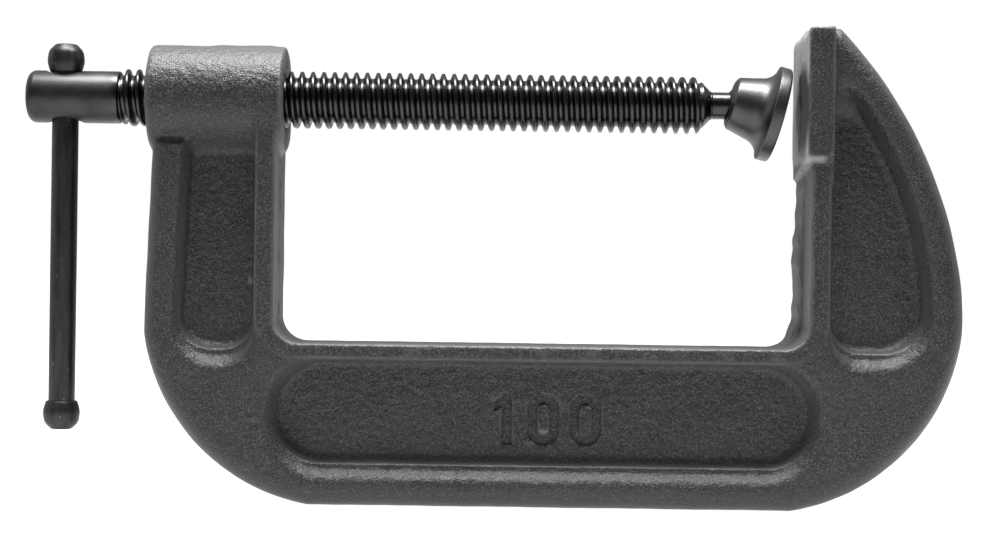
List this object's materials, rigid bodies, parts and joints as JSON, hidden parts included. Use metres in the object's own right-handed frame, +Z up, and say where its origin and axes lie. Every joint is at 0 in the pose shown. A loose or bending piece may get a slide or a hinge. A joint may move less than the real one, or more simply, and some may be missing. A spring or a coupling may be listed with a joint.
{
  "type": "c clamp",
  "caption": "C clamp: ribbed cast frame with a threaded boss, a screw turned by a sliding tommy bar, and a swivel pad that presses work against the flat anvil.",
  "frame": {"origin": "middle of the flat base under the frame's spine, on the plane of symmetry", "axes": "+X along the screw from its head to the anvil, +Z up from the base to the screw, +Y across the casting's thickness"},
  "size_m": [0.2185, 0.0248, 0.1116],
  "materials": {
    "frame_enamel": "textured dark enamel on a rough casting",
    "screw_steel": "oiled black oxide",
    "pad_steel": "satin black oxide",
    "bar_steel": "satin black oxide, lightly scuffed",
    "cap_steel": "satin black oxide"
  },
  "bodies": {
    "frame": {"frame": "frame_enamel"},
    "ball_end": {"ball_end": "screw_steel"},
    "screw": {"screw": "screw_steel"},
    "tommy_bar": {"bar_rod": "bar_steel", "bar_cap_upper": "cap_steel", "bar_cap_lower": "cap_steel"},
    "swivel_pad": {"swivel_pad": "pad_steel"}
  },
  "joints": [
    {"name": "screw_feed", "type": "slide", "parent": "frame", "child": "ball_end", "axis": [1, 0, 0], "range_m": [-0.1016, 0.00102]},
    {"name": "screw_turn", "type": "hinge", "parent": "ball_end", "child": "screw", "pos_m": [-0.09535, 0, 0.094], "axis": [1, 0, 0], "range_deg": [-14402, 146]},
    {"name": "bar_slide", "type": "slide", "parent": "screw", "child": "tommy_bar", "axis": [0, 0, 1], "range_m": [0, 0.065]},
    {"name": "pad_tilt", "type": "hinge", "parent": "ball_end", "child": "swivel_pad", "pos_m": [0.0451, 0, 0.094], "axis": [0, 1, 0], "range_deg": [-29, 0]}
  ],
  "couplings": [
    {"joint": "screw_turn", "follows": "screw_feed", "rad_per_m": 2473.7}
  ]
}
